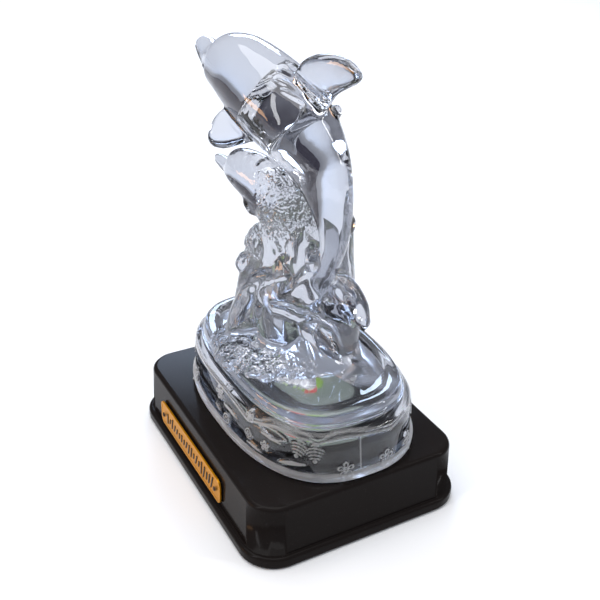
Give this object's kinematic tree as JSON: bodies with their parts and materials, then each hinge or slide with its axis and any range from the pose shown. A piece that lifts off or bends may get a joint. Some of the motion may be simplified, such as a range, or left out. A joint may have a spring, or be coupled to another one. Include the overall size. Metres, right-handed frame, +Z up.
{
  "type": "lighted dolphin statue",
  "caption": "Small table statue: a clear cast leaping dolphin and calf on a breaking wave and hollow oval base, lit from below, on a gloss black plinth with a gold plate.",
  "frame": {"origin": "centre of the plinth's underside, on the surface the statue stands on", "axes": "+Z up; X along the plinth's long side; the nameplate is on the -Y side and the large dolphin leaps towards -X"},
  "size_m": [0.1048, 0.0816, 0.1517],
  "materials": {
    "black_plastic": "polished black with light scuffs",
    "gold_plate": "satin gold-coloured sheet",
    "pin_metal": "dark tarnished",
    "pale_plastic": "pale grey-green matt",
    "led_green": "tinted lens",
    "led_red": "tinted lens",
    "clear_cast": "clear cast, polished"
  },
  "bodies": {
    "root": {"plinth": "black_plastic", "nameplate": "gold_plate", "plate_pin_left": "pin_metal", "plate_pin_right": "pin_metal", "light_pad": "pale_plastic", "led_green_left": "led_green", "led_red": "led_red", "led_green_right": "led_green", "clear_figure": "clear_cast"}
  },
  "joints": []
}
